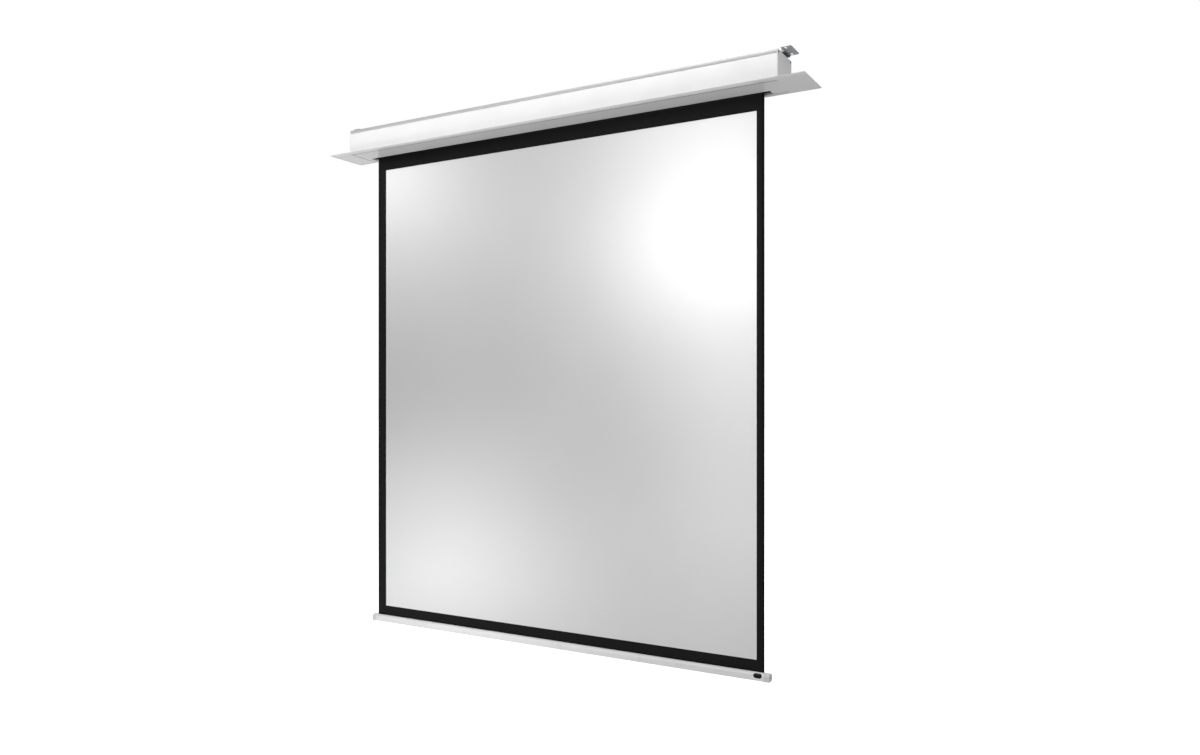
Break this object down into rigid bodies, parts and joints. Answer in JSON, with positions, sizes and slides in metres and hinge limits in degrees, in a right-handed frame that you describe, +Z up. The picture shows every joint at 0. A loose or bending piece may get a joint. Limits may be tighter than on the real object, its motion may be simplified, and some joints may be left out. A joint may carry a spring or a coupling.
{
  "type": "projector screen",
  "caption": "Ceiling-recessed motorised projection screen: long case with trim flange and rail hangers, roller on a tubular motor, black-bordered cloth and weighted bottom bar.",
  "frame": {"origin": "on the case's top face, above the cloth's plane, at the middle of the cloth's width", "axes": "+X to the viewer's right along the case, +Y back from the viewer, +Z up"},
  "size_m": [2.382, 0.211, 2.4121],
  "materials": {
    "satin_rail": "satin anodised",
    "white_panel": "satin white powder coat",
    "white_trim": "satin white powder coat",
    "white_cover": "satin white powder coat",
    "end_plate": "matt grey",
    "zinc_screw": "dark zinc plated",
    "hanger_steel": "galvanised sheet",
    "bracket_steel": "galvanised sheet",
    "dark_steel": "oiled",
    "motor_tube": "smooth grey-white",
    "roller_aluminium": "mill finish",
    "black_plastic": "matt moulded",
    "grey_plastic": "matt moulded",
    "white_plastic": "smooth moulded",
    "bar_cap": "fine moulded",
    "white_bar": "satin white powder coat",
    "lead_rubber": "matt jacket",
    "screen_cloth": "pearl-white coated cloth with a printed black border",
    "cloth_black": "black-backed cloth"
  },
  "bodies": {
    "case": {"top_rail": "satin_rail", "front_panel": "white_panel", "rear_panel": "white_panel", "end_plate_left": "end_plate", "end_plate_right": "end_plate", "end_screw_left_1": "zinc_screw", "end_screw_left_2": "zinc_screw", "end_screw_left_3": "zinc_screw", "end_screw_left_4": "zinc_screw", "end_screw_right_1": "zinc_screw", "end_screw_right_2": "zinc_screw", "end_screw_right_3": "zinc_screw", "end_screw_right_4": "zinc_screw", "trim_front": "white_trim", "trim_rear": "white_trim", "trim_left": "white_trim", "trim_right": "white_trim", "service_cover": "white_cover", "cable_gland": "black_plastic", "motor_bracket": "bracket_steel", "motor_head": "black_plastic", "motor_body": "motor_tube", "motor_lead": "lead_rubber", "receiver_box": "grey_plastic", "receiver_lid": "grey_plastic", "idler_bracket": "bracket_steel", "idler_pin": "dark_steel", "cloth": "screen_cloth"},
    "roller": {"roller_tube": "roller_aluminium", "cloth_anchor": "white_plastic", "cloth_wraps": "cloth_black", "drive_wheel": "grey_plastic", "motor_shaft": "dark_steel", "crown_ring": "grey_plastic", "idler_plug": "grey_plastic", "idler_bearing": "dark_steel"},
    "bar": {"bar_tube": "white_bar", "bar_cap_left": "bar_cap", "bar_cap_right": "bar_cap", "bar_weight": "dark_steel", "cloth_keder": "white_plastic", "cap_screw_left_1": "zinc_screw", "cap_screw_left_2": "zinc_screw", "cap_screw_right_1": "zinc_screw", "cap_screw_right_2": "zinc_screw"},
    "left_hanger": {"hanger_left": "hanger_steel"},
    "right_hanger": {"hanger_right": "hanger_steel"},
    "left_clamp": {"clamp_screw_left": "dark_steel"},
    "right_clamp": {"clamp_screw_right": "dark_steel"},
    "upper_limit": {"limit_screw_up": "white_plastic"},
    "lower_limit": {"limit_screw_down": "white_plastic"}
  },
  "joints": [
    {"name": "bar_travel", "type": "slide", "parent": "case", "child": "bar", "axis": [0, 0, 1], "range_m": [0, 2.272], "deforming": ["cloth"]},
    {"name": "roller_spin", "type": "hinge", "parent": "case", "child": "roller", "pos_m": [0, -0.03615, -0.058], "axis": [1, 0, 0], "range_deg": [0, 3602]},
    {"name": "left_hanger_slide", "type": "slide", "parent": "case", "child": "left_hanger", "axis": [1, 0, 0], "range_m": [-0.034, 0.9]},
    {"name": "right_hanger_slide", "type": "slide", "parent": "case", "child": "right_hanger", "axis": [1, 0, 0], "range_m": [-0.9, 0]},
    {"name": "left_clamp_turn", "type": "hinge", "parent": "left_hanger", "child": "left_clamp", "pos_m": [-0.9925, -0.0525, 0.0145], "axis": [0, 0, 1], "range_deg": [0, 720]},
    {"name": "right_clamp_turn", "type": "hinge", "parent": "right_hanger", "child": "right_clamp", "pos_m": [1.0645, -0.0525, 0.0145], "axis": [0, 0, 1], "range_deg": [0, 720]},
    {"name": "upper_limit_turn", "type": "hinge", "parent": "case", "child": "upper_limit", "pos_m": [1.0644, -0.03615, -0.08], "axis": [0, 0, 1], "continuous": true},
    {"name": "lower_limit_turn", "type": "hinge", "parent": "case", "child": "lower_limit", "pos_m": [1.0784, -0.03615, -0.08], "axis": [0, 0, 1], "continuous": true}
  ],
  "couplings": [
    {"joint": "roller_spin", "follows": "bar_travel", "rad_per_m": 27.663}
  ]
}
